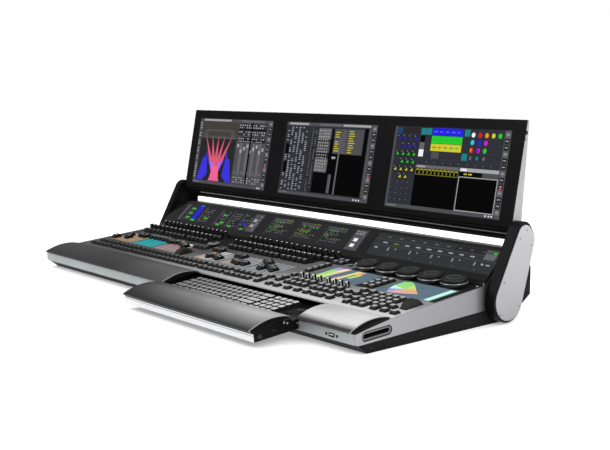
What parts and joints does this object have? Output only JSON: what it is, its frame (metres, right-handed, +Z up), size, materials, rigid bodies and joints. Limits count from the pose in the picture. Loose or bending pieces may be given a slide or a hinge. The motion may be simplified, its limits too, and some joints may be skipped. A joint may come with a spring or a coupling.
{
  "type": "lighting control desk",
  "caption": "Stage lighting control desk: sloped fader and key surface, leaning display strip, fold-down wing of large touch displays, and a sliding keyboard drawer.",
  "frame": {"origin": "middle of the base's flat bottom, on the floor plane", "axes": "+X to the operator's right, +Y away from the operator, +Z up"},
  "size_m": [1.284, 0.6635, 0.4241],
  "materials": {
    "black_sheet": "satin powder coat",
    "satin_aluminium": "satin",
    "brushed_trim": "brushed",
    "armrest_black": "soft satin",
    "panel_grey": "satin",
    "key_black": "fine matt",
    "encoder_black": "gloss and satin rings",
    "display_glass": "glossy black glass",
    "light_diffuser": "lit white diffuser",
    "unit_case": "plain",
    "hinge_steel": "ground"
  },
  "bodies": {
    "desk": {"base_tray": "black_sheet", "front_rail": "brushed_trim", "side_panel_left": "satin_aluminium", "side_panel_right": "satin_aluminium", "armrest_left": "armrest_black", "armrest_right": "armrest_black", "processor_unit": "unit_case", "control_plate": "panel_grey", "knob_bank": "key_black", "letterbox_glass": "display_glass", "light_bar": "light_diffuser", "rear_housing": "black_sheet", "shoulder_left": "black_sheet", "shoulder_right": "black_sheet", "shoulder_cover_left": "satin_aluminium", "shoulder_cover_right": "satin_aluminium"},
    "display_wing": {"wing_shell": "satin_aluminium", "wing_glass": "display_glass", "wing_hinge_tube": "hinge_steel"},
    "drawer": {"drawer_tray": "armrest_black", "drawer_armrest": "armrest_black"},
    "keyboard": {"keyboard_keys": "key_black"},
    "panel_keys": {"panel_keys": "key_black"},
    "encoder_1": {"encoder_1": "encoder_black"},
    "encoder_2": {"encoder_2": "encoder_black"},
    "encoder_3": {"encoder_3": "encoder_black"},
    "encoder_4": {"encoder_4": "encoder_black"},
    "encoder_5": {"encoder_5": "encoder_black"},
    "level_wheel_left": {"level_wheel_left": "key_black"},
    "level_wheel_right": {"level_wheel_right": "key_black"},
    "fader_01": {"fader_01": "key_black"},
    "fader_02": {"fader_02": "key_black"},
    "fader_03": {"fader_03": "key_black"},
    "fader_04": {"fader_04": "key_black"},
    "fader_05": {"fader_05": "key_black"},
    "fader_06": {"fader_06": "key_black"},
    "fader_07": {"fader_07": "key_black"},
    "fader_08": {"fader_08": "key_black"},
    "fader_09": {"fader_09": "key_black"},
    "fader_10": {"fader_10": "key_black"},
    "fader_11": {"fader_11": "key_black"},
    "fader_12": {"fader_12": "key_black"},
    "fader_13": {"fader_13": "key_black"},
    "fader_14": {"fader_14": "key_black"},
    "fader_15": {"fader_15": "key_black"},
    "fader_16": {"fader_16": "key_black"},
    "fader_17": {"fader_17": "key_black"},
    "fader_18": {"fader_18": "key_black"},
    "fader_19": {"fader_19": "key_black"},
    "fader_20": {"fader_20": "key_black"},
    "fader_21": {"fader_21": "key_black"},
    "fader_22": {"fader_22": "key_black"},
    "fader_23": {"fader_23": "key_black"},
    "fader_24": {"fader_24": "key_black"},
    "fader_25": {"fader_25": "key_black"},
    "fader_26": {"fader_26": "key_black"},
    "fader_27": {"fader_27": "key_black"},
    "fader_28": {"fader_28": "key_black"},
    "fader_29": {"fader_29": "key_black"},
    "fader_30": {"fader_30": "key_black"}
  },
  "joints": [
    {"name": "display_wing_fold", "type": "hinge", "parent": "desk", "child": "display_wing", "pos_m": [0, 0.231, 0.197], "axis": [1, 0, 0], "range_deg": [-12, 101]},
    {"name": "drawer_slide", "type": "slide", "parent": "desk", "child": "drawer", "axis": [0, 0.9959, 0.0906], "range_m": [0, 0.11]},
    {"name": "keyboard_press", "type": "slide", "parent": "drawer", "child": "keyboard", "axis": [0, 0.0906, -0.9959], "range_m": [0, 0.0018], "stiffness_N_per_m": 6000, "springref_m": -0.002},
    {"name": "panel_keys_press", "type": "slide", "parent": "desk", "child": "panel_keys", "axis": [0, 0.0906, -0.9959], "range_m": [0, 0.0012], "stiffness_N_per_m": 12000, "springref_m": -0.002},
    {"name": "encoder_1_turn", "type": "hinge", "parent": "desk", "child": "encoder_1", "pos_m": [0.3096, 0.091, 0.0801], "axis": [0, -0.0906, 0.9959], "continuous": true},
    {"name": "encoder_2_turn", "type": "hinge", "parent": "desk", "child": "encoder_2", "pos_m": [0.3732, 0.091, 0.0801], "axis": [0, -0.0906, 0.9959], "continuous": true},
    {"name": "encoder_3_turn", "type": "hinge", "parent": "desk", "child": "encoder_3", "pos_m": [0.4368, 0.091, 0.0801], "axis": [0, -0.0906, 0.9959], "continuous": true},
    {"name": "encoder_4_turn", "type": "hinge", "parent": "desk", "child": "encoder_4", "pos_m": [0.5004, 0.091, 0.0801], "axis": [0, -0.0906, 0.9959], "continuous": true},
    {"name": "encoder_5_turn", "type": "hinge", "parent": "desk", "child": "encoder_5", "pos_m": [0.564, 0.091, 0.0801], "axis": [0, -0.0906, 0.9959], "continuous": true},
    {"name": "level_wheel_left_roll", "type": "hinge", "parent": "desk", "child": "level_wheel_left", "pos_m": [-0.224, -0.05591, 0.05468], "axis": [1, 0, 0], "continuous": true},
    {"name": "level_wheel_right_roll", "type": "hinge", "parent": "desk", "child": "level_wheel_right", "pos_m": [0.592, -0.06791, 0.05359], "axis": [1, 0, 0], "continuous": true},
    {"name": "fader_01_slide", "type": "slide", "parent": "desk", "child": "fader_01", "axis": [0, 0.9959, 0.0906], "range_m": [-0.003, 0.057]},
    {"name": "fader_02_slide", "type": "slide", "parent": "desk", "child": "fader_02", "axis": [0, 0.9959, 0.0906], "range_m": [-0.0372, 0.0228]},
    {"name": "fader_03_slide", "type": "slide", "parent": "desk", "child": "fader_03", "axis": [0, 0.9959, 0.0906], "range_m": [-0.018, 0.042]},
    {"name": "fader_04_slide", "type": "slide", "parent": "desk", "child": "fader_04", "axis": [0, 0.9959, 0.0906], "range_m": [-0.0516, 0.0084]},
    {"name": "fader_05_slide", "type": "slide", "parent": "desk", "child": "fader_05", "axis": [0, 0.9959, 0.0906], "range_m": [-0.0516, 0.0084]},
    {"name": "fader_06_slide", "type": "slide", "parent": "desk", "child": "fader_06", "axis": [0, 0.9959, 0.0906], "range_m": [-0.0576, 0.0024]},
    {"name": "fader_07_slide", "type": "slide", "parent": "desk", "child": "fader_07", "axis": [0, 0.9959, 0.0906], "range_m": [-0.0576, 0.0024]},
    {"name": "fader_08_slide", "type": "slide", "parent": "desk", "child": "fader_08", "axis": [0, 0.9959, 0.0906], "range_m": [-0.0576, 0.0024]},
    {"name": "fader_09_slide", "type": "slide", "parent": "desk", "child": "fader_09", "axis": [0, 0.9959, 0.0906], "range_m": [-0.0576, 0.0024]},
    {"name": "fader_10_slide", "type": "slide", "parent": "desk", "child": "fader_10", "axis": [0, 0.9959, 0.0906], "range_m": [-0.0576, 0.0024]},
    {"name": "fader_11_slide", "type": "slide", "parent": "desk", "child": "fader_11", "axis": [0, 0.9959, 0.0906], "range_m": [-0.048, 0.012]},
    {"name": "fader_12_slide", "type": "slide", "parent": "desk", "child": "fader_12", "axis": [0, 0.9959, 0.0906], "range_m": [-0.0528, 0.0072]},
    {"name": "fader_13_slide", "type": "slide", "parent": "desk", "child": "fader_13", "axis": [0, 0.9959, 0.0906], "range_m": [-0.0552, 0.0048]},
    {"name": "fader_14_slide", "type": "slide", "parent": "desk", "child": "fader_14", "axis": [0, 0.9959, 0.0906], "range_m": [-0.048, 0.012]},
    {"name": "fader_15_slide", "type": "slide", "parent": "desk", "child": "fader_15", "axis": [0, 0.9959, 0.0906], "range_m": [-0.0372, 0.0228]},
    {"name": "fader_16_slide", "type": "slide", "parent": "desk", "child": "fader_16", "axis": [0, 0.9959, 0.0906], "range_m": [-0.0588, 0.0012]},
    {"name": "fader_17_slide", "type": "slide", "parent": "desk", "child": "fader_17", "axis": [0, 0.9959, 0.0906], "range_m": [-0.0588, 0.0012]},
    {"name": "fader_18_slide", "type": "slide", "parent": "desk", "child": "fader_18", "axis": [0, 0.9959, 0.0906], "range_m": [-0.0072, 0.0528]},
    {"name": "fader_19_slide", "type": "slide", "parent": "desk", "child": "fader_19", "axis": [0, 0.9959, 0.0906], "range_m": [-0.0144, 0.0456]},
    {"name": "fader_20_slide", "type": "slide", "parent": "desk", "child": "fader_20", "axis": [0, 0.9959, 0.0906], "range_m": [-0.006, 0.054]},
    {"name": "fader_21_slide", "type": "slide", "parent": "desk", "child": "fader_21", "axis": [0, 0.9959, 0.0906], "range_m": [-0.048, 0.012]},
    {"name": "fader_22_slide", "type": "slide", "parent": "desk", "child": "fader_22", "axis": [0, 0.9959, 0.0906], "range_m": [-0.048, 0.012]},
    {"name": "fader_23_slide", "type": "slide", "parent": "desk", "child": "fader_23", "axis": [0, 0.9959, 0.0906], "range_m": [-0.0084, 0.0516]},
    {"name": "fader_24_slide", "type": "slide", "parent": "desk", "child": "fader_24", "axis": [0, 0.9959, 0.0906], "range_m": [-0.003, 0.057]},
    {"name": "fader_25_slide", "type": "slide", "parent": "desk", "child": "fader_25", "axis": [0, 0.9959, 0.0906], "range_m": [-0.006, 0.054]},
    {"name": "fader_26_slide", "type": "slide", "parent": "desk", "child": "fader_26", "axis": [0, 0.9959, 0.0906], "range_m": [-0.0552, 0.0048]},
    {"name": "fader_27_slide", "type": "slide", "parent": "desk", "child": "fader_27", "axis": [0, 0.9959, 0.0906], "range_m": [-0.042, 0.018]},
    {"name": "fader_28_slide", "type": "slide", "parent": "desk", "child": "fader_28", "axis": [0, 0.9959, 0.0906], "range_m": [-0.003, 0.057]},
    {"name": "fader_29_slide", "type": "slide", "parent": "desk", "child": "fader_29", "axis": [0, 0.9959, 0.0906], "range_m": [-0.018, 0.042]},
    {"name": "fader_30_slide", "type": "slide", "parent": "desk", "child": "fader_30", "axis": [0, 0.9959, 0.0906], "range_m": [-0.0072, 0.0528]}
  ]
}
